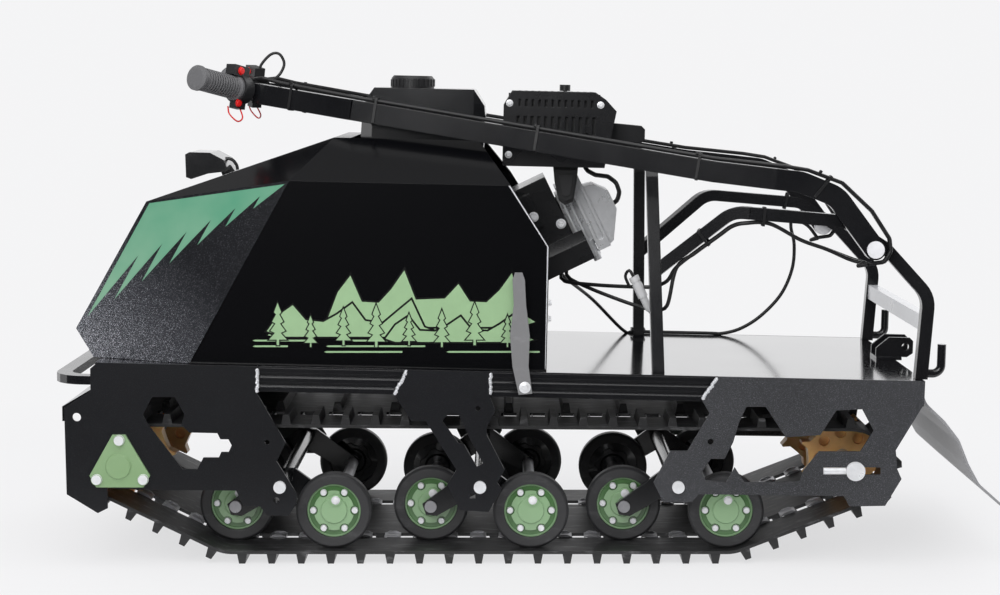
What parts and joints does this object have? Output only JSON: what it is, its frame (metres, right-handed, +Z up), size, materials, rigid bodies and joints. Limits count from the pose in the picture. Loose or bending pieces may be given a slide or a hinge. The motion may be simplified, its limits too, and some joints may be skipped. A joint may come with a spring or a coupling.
{
  "type": "tracked snow towing vehicle",
  "caption": "Compact tracked snow tug with an open engine, a faceted hood, a cargo deck with tube rails and a long towing handle that folds forward.",
  "frame": {"origin": "on the ground under the middle of the vehicle", "axes": "+X forward, +Y to the left side, +Z up"},
  "size_m": [1.5463, 0.574, 0.8173],
  "materials": {
    "black_paint": "semi-gloss black paint",
    "grey_paint": "fine textured dark grey powder coat",
    "light_bar": "light grey",
    "track_rubber": "matt moulded rubber",
    "mud_rubber": "matt grey rubber sheet",
    "strap_rubber": "matt black rubber",
    "grip_rubber": "matt grey rubber",
    "sprocket_plastic": "natural cast plastic",
    "steel": "bright steel",
    "zinc": "bright zinc plate",
    "bogie_black": "semi-gloss black paint",
    "green_cover": "satin green",
    "green_disc": "glossy green",
    "tyre_rubber": "matt rubber",
    "cast_aluminium": "cast aluminium",
    "black_sheet": "satin black",
    "tank_paint": "gloss black",
    "black_plastic": "moulded black plastic",
    "hood_paint": "gloss black paint",
    "cable": "black cable sheath"
  },
  "bodies": {
    "chassis": {"frame_rails": "black_paint", "cross_members": "black_paint", "deck_sheet": "black_paint", "front_plates": "black_paint", "middle_plates": "black_paint", "rear_plates": "grey_paint", "bumper": "black_paint", "front_guard": "black_paint", "hoop": "black_paint", "side_rail_left": "black_paint", "side_rail_right": "black_paint", "rear_bar": "light_bar", "pivot_pins": "zinc", "tow_bracket": "black_paint", "tie_hooks": "black_paint", "track": "track_rubber", "drive_sprockets": "sprocket_plastic", "idler_sprockets": "sprocket_plastic", "drive_shaft": "steel", "idler_shaft": "zinc", "tensioners": "zinc", "bearing_covers": "green_cover", "pivot_bolts": "zinc", "pivot_tubes": "bogie_black", "bogie_arms": "bogie_black", "wheel_axles": "steel", "wheel_discs": "green_disc", "wheel_tyres": "tyre_rubber", "mud_flap": "mud_rubber", "crankcase": "cast_aluminium", "cylinder_barrel": "cast_aluminium", "cylinder_head": "cast_aluminium", "engine_shroud": "black_sheet", "fuel_tank": "tank_paint", "fuel_cap": "black_plastic", "muffler": "steel", "muffler_guard": "black_sheet", "recoil_starter": "black_sheet", "air_cleaner": "black_plastic", "breather_hose": "cable", "latch_straps": "strap_rubber", "rail_cables": "cable"},
    "handle": {"handle_arms": "black_paint", "handlebar": "black_paint", "grips": "grip_rubber", "hand_controls": "black_plastic", "handle_cables": "cable"},
    "hood_cover": {"hood": "hood_paint", "headlight": "black_plastic"}
  },
  "joints": [
    {"name": "handle_fold", "type": "hinge", "parent": "chassis", "child": "handle", "pos_m": [-0.55645, 0, 0.51863], "axis": [0, -1, 0], "range_deg": [0, 146]},
    {"name": "hood_lift_off", "type": "slide", "parent": "chassis", "child": "hood_cover", "axis": [0.9997, 0, 0.0227], "range_m": [0, 0.45]}
  ]
}
